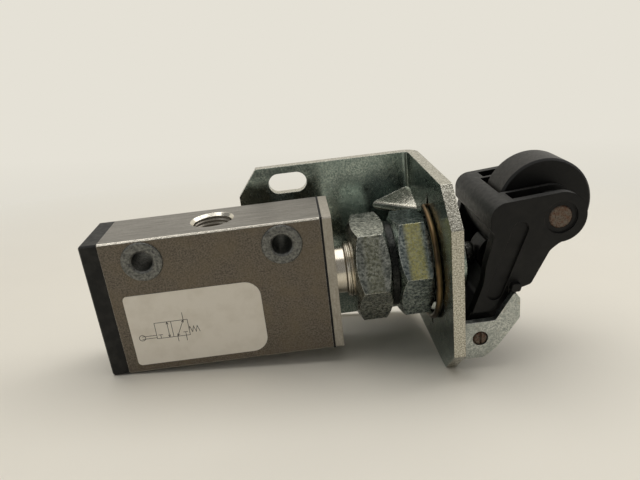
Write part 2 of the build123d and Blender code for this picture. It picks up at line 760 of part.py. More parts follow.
def pivot_pin():
    """Pin through both ears, on which the lever turns, grooved across its ends."""
    pin = cross_rod(*PIVOT, -EAR_OUTER, EAR_OUTER, PIVOT_PIN_D)
    pin = chamfer(pin.edges().filter_by(GeomType.CIRCLE), PIVOT_PIN_CHAMFER)
    for side in (-1, 1):
        pin -= Pos(PIVOT[0], side * EAR_OUTER, PIVOT[1]) * Box(
            PIVOT_PIN_GROOVE, 2 * PIVOT_PIN_CHAMFER, PIVOT_PIN_D
        )
    return pin


def from_pivot(offset):
    """Place in the lever's side view, from its offset to the pivot."""
    return (PIVOT[0] + offset[0], PIVOT[1] + offset[1])


def lever_outline():
    """Side view of the lever: barrel, arm and rounded head."""
    rx, rz = ROLLER
    step = from_pivot(ARM_STEP)
    points = [
        from_pivot(ARM_BACK_ROOT),
        from_pivot(ARM_BACK_KNEE),
        from_pivot(ARM_BACK_UPPER),
        from_pivot(ARM_BACK_TOP),
        step,
        (step[0], rz + LEVER_HEAD_R - HEAD_SHOULDER_DROP),
        (rx, rz + LEVER_HEAD_R),
        (rx, rz - LEVER_HEAD_R),
        (rx - HEAD_CHIN_BACK, rz - LEVER_HEAD_R - HEAD_CHIN_DROP),
        from_pivot(ARM_UNDER_TIP),
        from_pivot(ARM_UNDER_KNEE),
        from_pivot(ARM_UNDER_ROOT),
        PIVOT,
    ]
    back = [0, ARM_BACK_R, ARM_BACK_R, ARM_EDGE_R, ARM_EDGE_R]
    head = [LEVER_TOP_R, 0, 0, HEAD_CHIN_R]
    arm = rounded_outline(points, back + head + [ARM_UNDER_R, ARM_EDGE_R, 0, 0])
    return arm + Pos(rx, rz) * Circle(LEVER_HEAD_R) + Pos(*PIVOT) * Circle(LEVER_BARREL_R)


def lever_channel():
    """Hollow of the arm, open towards the plate, under the roller's slot."""
    points = [
        (PLATE_FACE, PIVOT[1] + CHANNEL_BOTTOM),
        (PLATE_FACE, PIVOT[1] + CHANNEL_TOP),
        from_pivot((CHANNEL_CEILING_X, CHANNEL_TOP)),
        from_pivot(CHANNEL_DEEP),
        from_pivot(CHANNEL_KNEE),
        from_pivot(CHANNEL_LOW),
        from_pivot((CHANNEL_ROOT_X, CHANNEL_BOTTOM)),
    ]
    hollow = rounded_outline(points, [0, 0, 0, 0, CHANNEL_R, 0, CHANNEL_R])
    hollow -= Pos(*ROLLER) * Circle(ROLLER_D / 2 + SLOT_GAP + SLOT_WALL)
    half = LEVER_HALF - LEVER_WALL
    return side_plate(hollow, -half, half)


def lever_pad():
    """Crowned rib inside the arm that presses on the plunger's tip."""
    centre = PLUNGER_TIP + PAD_GAP + PAD_R
    nose = cross_rod(centre, 0, -PAD_WIDTH / 2, PAD_WIDTH / 2, 2 * PAD_R)
    nose &= Pos(centre, 0, 0) * Box(2 * PAD_R, PAD_WIDTH, PAD_HEIGHT)
    tail = Pos(centre + PAD_TAIL / 2, 0, 0) * Box(PAD_TAIL, PAD_WIDTH, PAD_HEIGHT)
    return nose + tail


def side_recess(sketch, side, depth):
    """Cut of a sketch into the lever's side face."""
    outer = side * LEVER_HALF
    inner = side * (LEVER_HALF - depth)
    return side_plate(sketch, min(inner, outer), max(inner, outer))


def lever_pocket():
    """Outline of the long shallow recess in the arm's side face."""
    line = Line(from_pivot(POCKET_LOW), from_pivot(POCKET_HIGH))
    heading = line % 0
    middle = line @ 0.5
    slot = SlotCenterToCenter(
        line.length, POCKET_WIDTH, rotation=degrees(atan2(heading.Y, heading.X))
    )
    return Pos(middle.X, middle.Y) * slot


def cheek_pocket(side):
    """Hollow between a cheek's thin inner rim and its outer wall, open at the top."""
    rx, rz = ROLLER
    above = rz + 2 * LEVER_HEAD_R
    ahead = rx + 2 * LEVER_HEAD_R
    left, floor = from_pivot((CHEEK_LEFT, CHEEK_FLOOR))
    mouth = PIVOT[1] + CHEEK_MOUTH
    points = [(left, floor), (rx, floor), (rx, mouth), (ahead, mouth), (ahead, above), (left, above)]
    hollow = rounded_outline(points, [CHANNEL_R, 0, 0, 0, 0, 0])
    hollow -= Pos(rx, rz) * Circle(CHEEK_BOSS_R)
    inner = side * (FORK_HALF + CHEEK_RIM)
    outer = side * (LEVER_HALF - CHEEK_WALL)
    return side_plate(hollow, min(inner, outer), max(inner, outer))


def tang_relief():
    """Where the arm is thinner between the ears: below a rounded shoulder, off the pivot's boss."""
    shoulder = PIVOT[1] + TANG_SHOULDER_Z
    lug, top = from_pivot((LUG_BACK, TANG_TOP[1]))
    low = PIVOT[1] - 2 * LEVER_BARREL_R
    points = [
        (PLATE_FACE, shoulder),
        from_pivot((TANG_CORNER_X, TANG_SHOULDER_Z)),
        from_pivot(TANG_TOP),
        (lug, top),
        (lug, low),
        (PLATE_FACE, low),
    ]
    return rounded_outline(points, [0, TANG_CORNER_R, 0, 0, 0, 0]) - Pos(*PIVOT) * Circle(LEVER_BARREL_R)


def stop_lug(side):
    """Lug beside the arm that rests on the ear's finger."""
    bottom = FINGER_TOP_Z + STOP_GAP
    back = PIVOT[0] + LUG_BACK
    points = [
        (back, bottom),
        (back + LUG_WIDTH, bottom),
        (back + LUG_WIDTH + LUG_LEAN, bottom + LUG_HEIGHT),
        (back + LUG_LEAN, bottom + LUG_HEIGHT),
    ]
    inner = side * (LEVER_HALF - LEVER_WALL)
    outer = side * (EAR_OUTER - STOP_GAP)
    return side_plate(rounded_outline(points, ARM_EDGE_R), min(inner, outer), max(inner, outer))


def lever_arm():
    """Moulded forked lever: channel-shaped arm, solid head with the roller's slot."""
    arm = side_plate(lever_outline(), -LEVER_HALF, LEVER_HALF)
    arm -= lever_channel()
    arm += lever_pad()
    slot_d = ROLLER_D + 2 * SLOT_GAP
    arm -= cross_rod(*ROLLER, -FORK_HALF, FORK_HALF, slot_d)
    arm -= cross_rod(*ROLLER, -LEVER_HALF, LEVER_HALF, ROLLER_PIN_D + 2 * SEATING)
    arm -= cross_rod(*PIVOT, -LEVER_HALF, LEVER_HALF, PIVOT_PIN_D + 2 * RUNNING)
    pin_recess = Pos(*ROLLER) * Circle(PIN_RECESS_D / 2)
    for side in (-1, 1):
        arm += stop_lug(side)
        arm -= cheek_pocket(side)
        arm -= side_recess(lever_pocket(), side, POCKET_DEPTH)
        arm -= side_recess(tang_relief(), side, TANG_STEP)
        arm -= side_recess(pin_recess, side, PIN_RECESS_DEPTH)
    return arm


def roller():
    """Plain wheel with a hub on each side that keeps it in the middle of the fork."""
    half = ROLLER_WIDTH / 2
    wheel = chamfer(cross_rod(*ROLLER, -half, half, ROLLER_D).edges(), ROLLER_EDGE)
    hub = FORK_HALF - ROLLER_HUB_GAP
    wheel += cross_rod(*ROLLER, -hub, hub, ROLLER_HUB_D)
    return wheel - cross_rod(*ROLLER, -hub, hub, ROLLER_PIN_D + 2 * RUNNING)


def roller_pin():
    end = LEVER_HALF - PIN_RECESS_DEPTH / 2
    pin = cross_rod(*ROLLER, -end, end, ROLLER_PIN_D)
    return chamfer(pin.edges().filter_by(GeomType.CIRCLE), ROLLER_EDGE / 2)


def label():
    """Bare self-adhesive label on the block's front face."""
    left = BLOCK_LEFT + LABEL_LEFT
    right = left + LABEL_LENGTH
    bottom = LABEL_TOP_Z - LABEL_HEIGHT
    outline = rounded_outline(
        [(left, bottom), (left, LABEL_TOP_Z), (right, LABEL_TOP_Z), (right, bottom)],
        [LABEL_SMALL_R, LABEL_SMALL_R, LABEL_LARGE_R, LABEL_LARGE_R],
    )
    return side_plate(outline, -BLOCK_HALF - LABEL_T, -BLOCK_HALF)


PIECES = {
    "valve_body": valve_body,
    "mounting_bushes": mounting_bushes,
    "end_cap": end_cap,
    "cap_seal": cap_seal,
    "cap_screws": cap_screws,
    "end_gasket": end_gasket,
    "end_plate": end_plate,
    "plate_screws": plate_screws,
    "label": label,
    "return_spring": return_spring,
    "spool": spool,
    "spool_seals": spool_seals,
    "plunger": plunger,
    "wiper_seal": wiper_seal,
    "threaded_neck": threaded_neck,
    "lock_nut": lock_nut,
    "spacer_washer": spacer_washer,
    "clamp_nut": clamp_nut,
    "tooth_washer": tooth_washer,
    "mounting_bracket": mounting_bracket,
    "wire_clip": wire_clip,
    "lever_carrier": lever_carrier,
    "ring_nut": ring_nut,
    "pivot_pin": pivot_pin,
    "lever_arm": lever_arm,
    "roller": roller,
    "roller_pin": roller_pin,
}


def main():
    os.makedirs("parts", exist_ok=True)
    for name, build in PIECES.items():
        export_step(HOME * build(), f"parts/{name}.step")


main()
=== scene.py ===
"""Looks of the roller-lever pneumatic valve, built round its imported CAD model, in metres."""

import json
from math import cos, pi, radians, sin

import bpy
from mathutils import Matrix, Vector


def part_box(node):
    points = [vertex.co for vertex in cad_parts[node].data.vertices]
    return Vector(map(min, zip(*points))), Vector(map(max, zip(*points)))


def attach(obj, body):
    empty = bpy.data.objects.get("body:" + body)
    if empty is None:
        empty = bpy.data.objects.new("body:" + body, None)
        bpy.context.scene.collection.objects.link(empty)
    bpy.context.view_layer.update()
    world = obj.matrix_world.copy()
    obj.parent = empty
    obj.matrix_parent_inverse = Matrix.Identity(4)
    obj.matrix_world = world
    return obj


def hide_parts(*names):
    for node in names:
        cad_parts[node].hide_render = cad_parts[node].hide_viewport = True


MM = 0.001

# The photograph's camera, found from the block's corners, edges and holes
CAMERA_PLACE = (2.99, -144.56, 56.04)
CAMERA_TURN_DEG = (68.646, 6.097, -3.823)
CAMERA_LENS = 32.0

# Points of the underside that touch the table
REST_POINTS = ((-7.8, 0.0, -22.0), (33.8, -34.5, -22.0), (-45.7, -29.0, -16.25))

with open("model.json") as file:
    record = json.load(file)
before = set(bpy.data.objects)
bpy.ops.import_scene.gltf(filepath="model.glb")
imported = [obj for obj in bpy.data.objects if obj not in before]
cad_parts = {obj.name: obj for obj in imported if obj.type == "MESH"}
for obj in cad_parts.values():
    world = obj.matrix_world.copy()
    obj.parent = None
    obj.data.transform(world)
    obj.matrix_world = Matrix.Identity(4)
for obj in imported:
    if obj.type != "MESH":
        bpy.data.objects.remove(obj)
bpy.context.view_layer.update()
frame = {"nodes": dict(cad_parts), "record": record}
nodes = frame["nodes"]


def screen(red, green, blue):
    """Linear colour from a screen's 0 to 255 values."""
    linear = [((value / 255 + 0.055) / 1.055) ** 2.4 for value in (red, green, blue)]
    return (*linear, 1.0)


class Finish:
    """A node material put together step by step. Its textures follow the piece's own
    coordinates, and every size is in millimetres."""

    def __init__(self, name, color, roughness, metallic=0.0):
        self.material = bpy.data.materials.new(name)
        self.material.use_nodes = True
        self.tree = self.material.node_tree
        self.shader = self.tree.nodes["Principled BSDF"]
        self.place = self.tree.nodes.new("ShaderNodeTexCoord").outputs["Object"]
        self.normal = None
        self.set("Base Color", color)
        self.set("Roughness", roughness)
        self.set("Metallic", metallic)

    def plug(self, value, socket):
        if isinstance(value, bpy.types.NodeSocket):
            self.tree.links.new(value, socket)
        else:
            socket.default_value = value

    def set(self, name, value):
        self.plug(value, self.shader.inputs[name])

    def node(self, kind, **inputs):
        made = self.tree.nodes.new(kind)
        for name, value in inputs.items():
            self.plug(value, made.inputs[name.replace("_", " ")])
        return made

    def math(self, operation, first, second=0.0):
        made = self.tree.nodes.new("ShaderNodeMath")
        made.operation = operation
        self.plug(first, made.inputs[0])
        self.plug(second, made.inputs[1])
        return made.outputs[0]

    def along(self, axis):
        """The piece's own coordinate along an axis, in millimetres."""
        parts = self.node("ShaderNodeSeparateXYZ", Vector=self.place)
        return self.math("MULTIPLY", parts.outputs[axis], 1 / MM)

    def facing(self, axis):
        """The surface's own normal along an axis, from -1 to 1."""
        normal = self.tree.nodes.new("ShaderNodeTexCoord").outputs["Normal"]
        return self.node("ShaderNodeSeparateXYZ", Vector=normal).outputs[axis]

    def noise(self, size, detail=2.0, stretch=(1, 1, 1), roughness=0.55):
        """Cloudy value with spots of about that size, longer along a stretched axis."""
        scaled = self.tree.nodes.new("ShaderNodeVectorMath")
        scaled.operation = "MULTIPLY"
        self.plug(self.place, scaled.inputs[0])
        scaled.inputs[1].default_value = [1 / (size * MM * s) for s in stretch]
        made = self.node("ShaderNodeTexNoise", Scale=1.0, Detail=detail, Roughness=roughness)
        self.plug(scaled.outputs[0], made.inputs["Vector"])
        return made.outputs["Fac"]

    def remap(self, value, low, high, to_low=0.0, to_high=1.0):
        made = self.node("ShaderNodeMapRange", Value=value)
        for name, number in zip(("From Min", "From Max", "To Min", "To Max"), (low, high, to_low, to_high)):
            made.inputs[name].default_value = number
        return made.outputs["Result"]

    def blend(self, factor, first, second):
        """Colour that goes from the first to the second as the factor rises."""
        made = self.tree.nodes.new("ShaderNodeMix")
        made.data_type = "RGBA"
        self.plug(factor, made.inputs["Factor"])
        self.plug(first, made.inputs["A"])
        self.plug(second, made.inputs["B"])
        return made.outputs["Result"]

    def both(self, first, second):
        return self.math("MULTIPLY", first, second)

    def between(self, axis, low, high, soft):
        """One between two places along an axis, fading over a soft edge, all in millimetres."""
        place = self.along(axis)
        rise = self.remap(place, low - soft, low + soft)
        return self.both(rise, self.remap(place, high - soft, high + soft, 1.0, 0.0))

    def round_edges(self, radius):
        """Softens sharp edges in the shading. Returns how near an edge the surface is."""
        bevel = self.node("ShaderNodeBevel", Radius=radius * MM)
        bevel.samples = 4
        self.normal = bevel.outputs["Normal"]
        across = self.tree.nodes.new("ShaderNodeVectorMath")
        across.operation = "DOT_PRODUCT"
        self.plug(self.normal, across.inputs[0])
        self.plug(self.tree.nodes.new("ShaderNodeNewGeometry").outputs["Normal"], across.inputs[1])
        return self.remap(across.outputs["Value"], 0.995, 0.93)

    def relief(self, height, depth):
        """Raises the shading by a height value times a depth."""
        bump = self.node("ShaderNodeBump", Height=height, Distance=depth * MM)
        if self.normal is not None:
            self.plug(self.normal, bump.inputs["Normal"])
        self.normal = bump.outputs["Normal"]

    def finished(self):
        if self.normal is not None:
            self.set("Normal", self.normal)
        return self.material


def give(material, *names):
    for name in names:
        for slot in nodes[name].material_slots:
            slot.material = material


def die_cast():
    """Brown-grey tumbled sides, lighter streaked top and bottom, bright worn edges."""
    finish = Finish("die_cast", screen(112, 104, 93), 0.45, 0.45)
    edge = finish.round_edges(0.16)
    grain = finish.noise(0.35, 3)
    cloud = finish.noise(5.0, 4)
    base = finish.blend(finish.remap(grain, 0.36, 0.64), screen(76, 69, 60), screen(118, 109, 96))
    base = finish.blend(finish.remap(cloud, 0.42, 0.7, 0, 0.45), base, screen(112, 100, 80))
    # Faces that point up or down get a lighter, streaked tone.
    up = finish.remap(finish.math("ABSOLUTE", finish.facing("Z")), 0.6, 0.9)
    streak = finish.noise(0.35, 3, (16, 1, 1))
    top_bottom_tone = finish.blend(finish.remap(streak, 0.3, 0.7), screen(102, 98, 91), screen(138, 134, 126))
    base = finish.blend(up, base, top_bottom_tone)
    worn = finish.both(edge, finish.remap(finish.noise(0.9, 3), 0.4, 0.6, 0.3, 0.9))
    base = finish.blend(worn, base, screen(205, 200, 190))
    tilt = finish.math("ABSOLUTE", finish.facing("Z"))
    machined = finish.both(finish.remap(tilt, 0.5, 0.65), finish.remap(tilt, 0.76, 0.9, 1.0, 0.0))
    finish.set("Base Color", finish.blend(machined, base, screen(222, 217, 204)))
    finish.set("Metallic", finish.remap(machined, 0, 1, 0.45, 1.0))
    dull = finish.remap(grain, 0.3, 0.7, 0.34, 0.5)
    finish.set("Roughness", finish.both(dull, finish.remap(machined, 0, 1, 1.0, 0.4)))
    finish.relief(grain, 0.014)
    return finish.finished()


def zinc(name, dark, light, roughness, speckle=0.012, edge_mm=0.2, grain_mm=0.4):
    """Zinc plate: bluish grey with sparkling grain in clouds and bright worn edges.
    Returns the finish, open for more, with its colour so far."""
    finish = Finish(name, dark, roughness[0], 1.0)
    edge = finish.round_edges(edge_mm)
    grain = finish.noise(grain_mm, 3, roughness=0.75)
    cloud = finish.remap(finish.noise(7.0, 3), 0.38, 0.62)
    spots = finish.both(finish.remap(grain, 0.4, 0.6), finish.remap(cloud, 0, 1, 0.45, 1.0))
    tint = finish.blend(spots, dark, light)
    worn = finish.both(edge, finish.remap(finish.noise(0.3, 2), 0.38, 0.6, 0.25, 1))
    tint = finish.blend(worn, tint, screen(228, 228, 218))
    finish.set("Roughness", finish.remap(finish.noise(1.4, 3), 0.3, 0.7, *roughness))
    finish.relief(finish.both(grain, finish.remap(cloud, 0, 1, 0.3, 1.0)), speckle)
    finish.relief(finish.noise(2.5, 2), speckle * 1.5)
    return finish, tint


def bracket_zinc():
    """The bracket: glossy and dark on its faces, bright and coarse where the sheet was cut."""
    finish, tint = zinc("bracket_zinc", screen(112, 126, 121), screen(172, 182, 172), (0.14, 0.3))
    ends = finish.remap(finish.math("ABSOLUTE", finish.facing("Z")), 0.3, 0.5)
    front = finish.remap(finish.along("Y"), -41.75, -41.95)
    left = finish.remap(finish.along("X"), -12.5, -12.75)
    cut = finish.math("MAXIMUM", ends, finish.math("MAXIMUM", front, left))
    chips = finish.noise(0.3, 2, roughness=0.7)
    rough = finish.blend(finish.remap(chips, 0.4, 0.62), screen(140, 137, 124), screen(216, 213, 200))
    finish.set("Base Color", finish.blend(cut, tint, rough))
    finish.relief(finish.both(chips, cut), 0.04)
    return finish.finished()


def nut_zinc(name, dark, light, chromate_and_reflection_gold):
    """A nut's plating, with a straw-coloured area on the flat that faces front and up: partly the plating's own
    chromate tint, partly a painted reflection.
    """
    finish, tint = zinc(name, dark, light, (0.18, 0.34), 0.035, 0.15, 0.6)
    # Golden area on the front, upward-facing flat: chromate tint with a painted reflection.
    flat = finish.both(finish.remap(finish.facing("Y"), -0.7, -0.85), finish.remap(finish.facing("Z"), 0.1, 0.3))
    low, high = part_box(name)
    left = low.x / MM
    width = (high.x - low.x) / MM
    golden_reflection_area = finish.between("X", left + 0.28 * width, left + 0.72 * width, 0.5)
    golden_reflection_area = finish.both(finish.both(flat, golden_reflection_area), finish.remap(finish.noise(0.4, 3), 0.35, 0.6, 0.4, 1))
    finish.set("Base Color", finish.blend(finish.both(golden_reflection_area, chromate_and_reflection_gold), tint, screen(236, 226, 140)))
    return finish.finished()


def carrier_zinc():
    """Paler, duller plating with faint rust-brown stains."""
    finish, tint = zinc("carrier_zinc", screen(150, 156, 152), screen(214, 216, 210), (0.3, 0.48), 0.02)
    stain = finish.remap(finish.noise(1.6, 4), 0.6, 0.78, 0, 0.6)
    finish.set("Base Color", finish.blend(stain, tint, screen(120, 108, 90)))
    return finish.finished()


def bush_steel():
    finish = Finish("bush_steel", screen(150, 152, 150), 0.5, 0.8)
    finish.round_edges(0.25)
    spots = finish.noise(0.5, 3)
    base = finish.blend(finish.remap(spots, 0.35, 0.65), screen(84, 85, 82), screen(134, 134, 129))
    # Scattered darker spots.
    dark_spots = finish.remap(finish.noise(0.9, 1), 0.62, 0.72)
    finish.set("Base Color", finish.blend(dark_spots, base, screen(80, 80, 80)))
    finish.relief(spots, 0.03)
    return finish.finished()


def plastic(name, color, dust_and_edge_highlight, roughness, grain=0.2, depth=0.006, edge_mm=0.25, film=0.12):
    """Moulded plastic with a fine grain, rounded edges, a little dusty film, and edges lightened partly by wear and
    partly by a painted highlight.
    """
    finish = Finish(name, color, roughness)
    edge = finish.round_edges(edge_mm)
    fine = finish.noise(grain, 2)
    dusty = finish.remap(finish.noise(3.0, 4), 0.45, 0.75, 0, film)
    # Edges lighten towards the dusty colour: part wear, part painted highlight.
    worn_and_highlit_edges = finish.both(edge, finish.remap(finish.noise(0.8, 3), 0.4, 0.65, 0, 0.45))
    base = finish.blend(dusty, color, dust_and_edge_highlight)
    finish.set("Base Color", finish.blend(worn_and_highlit_edges, base, dust_and_edge_highlight))
    finish.set("Roughness", finish.remap(finish.noise(1.0, 3), 0.3, 0.7, roughness - 0.06, roughness + 0.08))
    finish.set("Specular IOR Level", 0.28)
    finish.relief(fine, depth)
    return finish.finished()


def roller_plastic():
    """Black roller whose tread is a lighter grey than its faces, in fine rings."""
    finish = Finish("roller_plastic", screen(22, 21, 20), 0.5)
    finish.round_edges(0.25)
    ring = finish.noise(0.25, 3, (30, 1, 30))
    flat = finish.remap(finish.math("ABSOLUTE", finish.facing("Y")), 0.5, 0.8)
    tread = finish.blend(finish.remap(ring, 0.35, 0.65), screen(16, 15, 13), screen(36, 33, 29))
    face = finish.blend(finish.noise(1.5, 4), screen(7, 7, 6), screen(16, 15, 14))
    finish.set("Base Color", finish.blend(flat, tread, face))
    finish.set("Roughness", finish.remap(finish.noise(0.6, 3), 0.3, 0.7, 0.38, 0.55))
    finish.set("Specular IOR Level", 0.28)
    finish.relief(ring, 0.006)
    return finish.finished()


def plain_metal(name, dark, light, roughness, spot=0.4, depth=0.005, metallic=1.0, edge_mm=0.12):
    """Bare or blackened metal with small spots of two shades."""
    finish = Finish(name, dark, roughness, metallic)
    finish.round_edges(edge_mm)
    spots = finish.noise(spot, 3)
    finish.set("Base Color", finish.blend(finish.remap(spots, 0.35, 0.65), dark, light))
    finish.set("Roughness", finish.remap(finish.noise(spot * 3, 2), 0.3, 0.7, roughness * 0.8, roughness * 1.25))
    finish.relief(spots, depth)
    return finish.finished()


def rusty_steel():
    """Brown rust over plain steel."""
    finish = Finish("rusty_steel", screen(96, 76, 62), 0.55, 0.5)
    finish.round_edges(0.2)
    bloom = finish.noise(0.7, 5)
    fine = finish.noise(0.35, 3, roughness=0.7)
    base = finish.blend(finish.remap(bloom, 0.4, 0.65), screen(112, 102, 90), screen(104, 72, 54))
    base = finish.blend(finish.remap(fine, 0.5, 0.66), base, screen(46, 30, 23))
    finish.set("Base Color", base)
    finish.relief(fine, 0.05)
    return finish.finished()


def plate_alloy():
    """Pale alloy plate with cutter marks along its edges."""
    finish = Finish("plate_alloy", screen(170, 163, 150), 0.45, 0.6)
    finish.round_edges(0.15)
    streak = finish.noise(0.3, 3, (1, 1, 5))
    spots = finish.remap(finish.noise(0.5, 3), 0.35, 0.65, 0, 0.5)
    base = finish.blend(finish.remap(streak, 0.3, 0.7), screen(158, 152, 140), screen(184, 178, 166))
    finish.set("Base Color", finish.blend(spots, base, screen(140, 134, 122)))
    finish.relief(streak, 0.006)
    return finish.finished()


def label_film():
    """Off-white film with faint grime, dull sheen and a slightly lifted look."""
    finish = Finish("label_film", screen(226, 219, 206), 0.42)
    grime = finish.remap(finish.noise(4.0, 5), 0.45, 0.8, 0, 0.5)
    finish.set("Base Color", finish.blend(grime, screen(228, 221, 208), screen(200, 190, 172)))
    finish.relief(finish.noise(2.0, 2), 0.02)
    return finish.finished()


def neck_plate():
    """Bright nickel with fine turning lines."""
    finish = Finish("neck_plate", screen(214, 206, 190), 0.14, 1.0)
    finish.round_edges(0.05)
    lines = finish.noise(0.08, 2, (1, 40, 40))
    finish.set("Base Color", finish.blend(finish.noise(1.5, 3), screen(200, 190, 170), screen(226, 220, 208)))
    finish.set("Roughness", finish.remap(lines, 0.3, 0.7, 0.16, 0.3))
    finish.relief(lines, 0.002)
    return finish.finished()


def clip_wire():
    """Tempered spring wire, straw to brown along its length."""
    finish = Finish("clip_wire", screen(120, 96, 62), 0.3, 1.0)
    length = finish.noise(6.0, 3)
    finish.set("Base Color", finish.blend(finish.remap(length, 0.35, 0.65), screen(62, 52, 40), screen(112, 92, 64)))
    finish.relief(finish.noise(0.3, 2), 0.004)
    return finish.finished()


FINISHES = {
    "die_cast": die_cast(),
    "bush_steel": bush_steel(),
    # Each plastic's second colour serves its dusty film and its edges, which are part wear, part painted highlight.
    "black_plastic": plastic("black_plastic", screen(12, 12, 11), screen(84, 82, 76), 0.5, film=0.2),
    "seal_rubber": plastic("seal_rubber", screen(20, 20, 20), screen(60, 60, 60), 0.7, 0.1, 0.004),
    "screw_steel": plain_metal("screw_steel", screen(120, 120, 118), screen(170, 170, 166), 0.35),
    "plate_alloy": plate_alloy(),
    "label_film": label_film(),
    "spring_steel": plain_metal("spring_steel", screen(140, 140, 142), screen(180, 180, 182), 0.25),
    "spool_alloy": plain_metal("spool_alloy", screen(180, 180, 180), screen(205, 205, 205), 0.25),
    "plunger_steel": plain_metal("plunger_steel", screen(170, 168, 162), screen(205, 203, 196), 0.18),
    "neck_plate": neck_plate(),
    "zinc_plate": bracket_zinc(),
    # Kept near black so that the washer between the nuts shows as the dark gap there: blackened steel with painted
    # shade.
    "dark_steel": plain_metal("dark_steel", screen(20, 21, 21), screen(54, 55, 53), 0.32),
    "clip_wire": clip_wire(),
    "carrier_zinc": carrier_zinc(),
    "pin_steel": rusty_steel(),
    "lever_plastic": plastic("lever_plastic", screen(10, 10, 9), screen(60, 57, 51), 0.45),
    "roller_plastic": roller_plastic(),
}
for subpart in frame["record"]["subparts"]:
    give(FINISHES[subpart["material_slot"]], subpart["node"])
# The last number sets the golden chromate tint and painted reflection on each nut's front flat.
give(nut_zinc("lock_nut", screen(92, 96, 90), screen(214, 216, 204), 0.1), "lock_nut")
give(nut_zinc("clamp_nut", screen(88, 98, 98), screen(208, 216, 208), 0.8), "clamp_nut")


def piece(name, points, faces, finish, body, smooth=True):
    """New mesh object in a finish of the record, riding on a body."""
    mesh = bpy.data.meshes.new(name)
    mesh.from_pydata(points, [], faces)
    mesh.polygons.foreach_set("use_smooth", [smooth] * len(mesh.polygons))
    mesh.materials.append(FINISHES[finish])
    made = bpy.data.objects.new(name, mesh)
    bpy.context.scene.collection.objects.link(made)
    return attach(made, body)


def turned_mesh(profile, around, thread_pitch=0.0):
    """Points and faces of a surface turned about X. The profile's points are (x, radius,
    thread depth): the radius drops by that depth along a helix of the given pitch."""
    points = []
    for x, radius, depth in profile:
        for step in range(around):
            turn = step / around
            drop = 0.0
            if depth:
                phase = (x / thread_pitch - turn) % 1.0
                drop = depth * abs(2 * phase - 1)
            angle = 2 * pi * turn
            points.append(Vector((x, (radius - drop) * cos(angle), (radius - drop) * sin(angle))))
    faces = []
    for row in range(len(profile) - 1):
        for step in range(around):
            after = (step + 1) % around
            low = row * around
            high = low + around
            faces.append((low + step, low + after, high + after, high + step))
    return points, faces


def threaded_run(start, end, radius, depth, pitch, lead_in):
    """Profile points along a thread whose crests rise over the lead-in at its start."""
    step = pitch / 10
    count = round((end - start) / step)
    run = []
    for index in range(count + 1):
        x = start + index * (end - start) / count
        short = max(0.0, lead_in - (x - start)) + max(0.0, lead_in - (end - x))
        run.append((x, radius - short * depth / lead_in, max(0.0, depth * (1 - short / lead_in)) + 1e-9))
    return run


# Neck: bright undercut, then the thread, seen beside the lock nut and past the ring nut
THREAD_PITCH = 1.0 * MM
THREAD_DEPTH = 0.61 * MM
neck_low, neck_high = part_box("threaded_neck")
plate_low, plate_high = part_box("end_plate")
bore_radius = (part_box("plunger")[1].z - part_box("plunger")[0].z) / 2 + 0.05 * MM
crest = (neck_high.z - neck_low.z) / 2
undercut = 5.6 * MM
relief_end = plate_high.x + 2.5 * MM
axis_y = (neck_low.y + neck_high.y) / 2
axis_z = (neck_low.z + neck_high.z) / 2
profile = [(neck_low.x, bore_radius, 0), (neck_low.x, undercut, 0)]
profile += [(plate_low.x, undercut, 0), (relief_end - 0.3 * MM, undercut, 0)]
profile += [(relief_end - 0.25 * MM, undercut, 0), (relief_end, undercut + 0.25 * MM, 0)]
profile += threaded_run(relief_end + 0.05 * MM, neck_high.x - 0.1 * MM, crest, THREAD_DEPTH, THREAD_PITCH, 1.4 * MM)
profile += [(neck_high.x, crest - THREAD_DEPTH - 0.3 * MM, 0), (neck_high.x, bore_radius, 0)]
profile += [(neck_high.x - 2 * MM, bore_radius, 0)]
points, faces = turned_mesh(profile, 96, THREAD_PITCH)
centre = Vector((0, axis_y, axis_z))
neck = piece("neck_thread", [p + centre for p in points], faces, "neck_plate", "valve")
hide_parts("threaded_neck")

# Thread inside each port's mouth
PORT_RADIUS = 4.285 * MM
PORT_THREAD_PITCH = 0.907 * MM
PORT_THREAD_DEPTH = 0.3 * MM
PORT_LEAD_IN = 0.67 * MM
PORT_LENGTH = 6.8 * MM
for mount in frame["record"]["mounts"]:
    if mount["kind"] != "threaded_hole":
        continue
    out = Vector(mount["axis"])
    mouth = Vector(mount["pos_m"])
    block_low, block_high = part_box("valve_body")
    mouth.z = (block_high.z if out.z > 0 else block_low.z) - out.z * PORT_LEAD_IN
    run = threaded_run(0.0, PORT_LENGTH, PORT_RADIUS + 1e-6, PORT_THREAD_DEPTH, PORT_THREAD_PITCH, 0.5 * MM)
    points, faces = turned_mesh(run, 64, PORT_THREAD_PITCH)
    turn = Vector((1, 0, 0)).rotation_difference(-out).to_matrix()
    piece(f"{mount['name']}_thread", [turn @ p + mouth for p in points], faces, "plate_alloy", "valve")

# Switching symbol on the label, in millimetres from the label's top left corner
STROKE = 0.13
SYMBOL_LEFT = 5.6
SYMBOL_TOP = 7.3
SQUARE_WIDTH = 3.75
SQUARE_HEIGHT = 4.0


